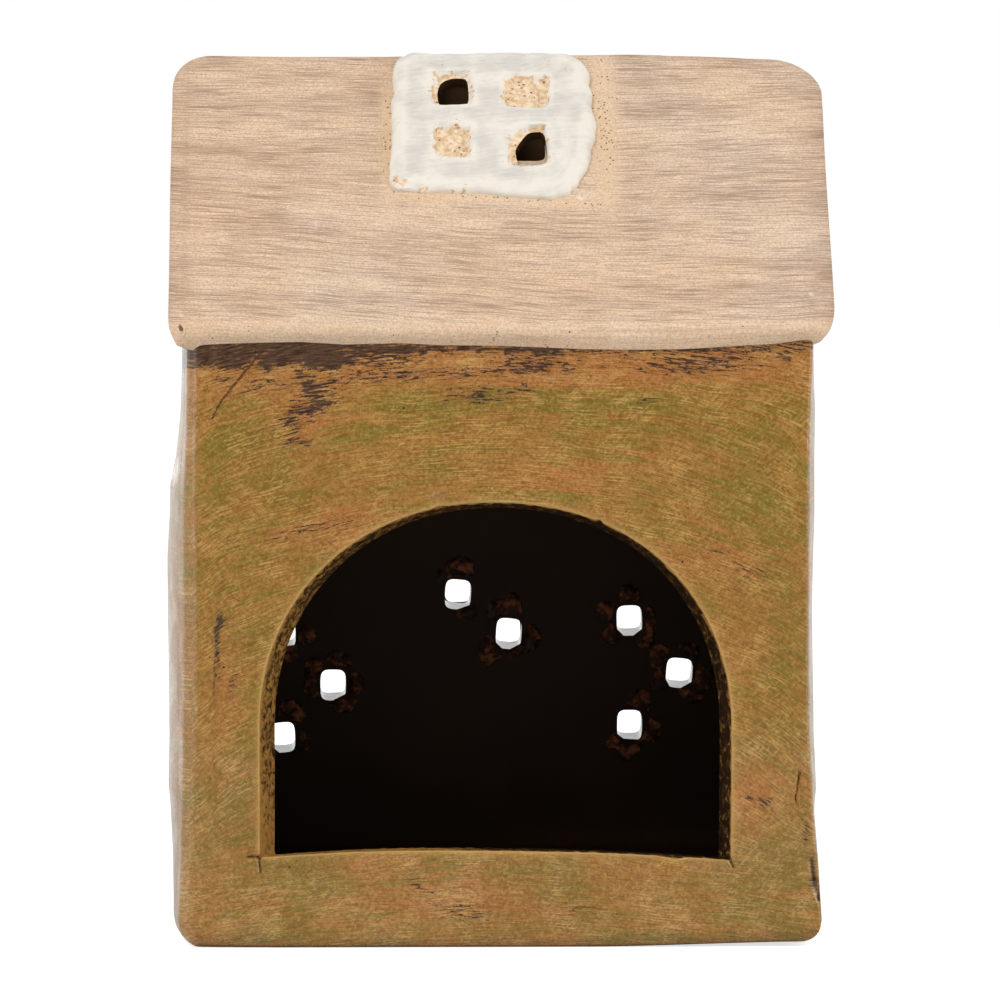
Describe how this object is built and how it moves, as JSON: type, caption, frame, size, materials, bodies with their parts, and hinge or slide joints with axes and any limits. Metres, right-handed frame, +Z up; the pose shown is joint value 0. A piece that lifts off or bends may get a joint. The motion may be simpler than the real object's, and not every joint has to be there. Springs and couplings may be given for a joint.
{
  "type": "tealight house",
  "caption": "Slab-built earthenware house for a tealight: arched rear opening, gable roof with a raised skylight, and punched window panes at the front.",
  "frame": {"origin": "middle of the flat underside, on the surface that the house stands on", "axes": "+Z up; the rear wall with the arched opening faces -Y, the door faces +Y, and +X runs along the ridge"},
  "size_m": [0.09, 0.0772, 0.1205],
  "materials": {
    "wall_glaze": "brushed olive and ochre glaze",
    "roof_slip": "dry-brushed cream and taupe slip",
    "white_slip": "thick brushed white slip",
    "door_glaze": "dark brown glaze"
  },
  "bodies": {
    "root": {"base_slab": "wall_glaze", "rear_wall": "wall_glaze", "front_wall": "wall_glaze", "left_wall": "wall_glaze", "right_wall": "wall_glaze", "roof_rear_slab": "roof_slip", "roof_front_slab": "roof_slip", "skylight_frame": "white_slip", "left_window_frame": "white_slip", "right_window_frame": "white_slip", "door_leaf": "door_glaze", "door_surround": "white_slip", "doorstep": "roof_slip", "door_knob": "white_slip"}
  },
  "joints": []
}
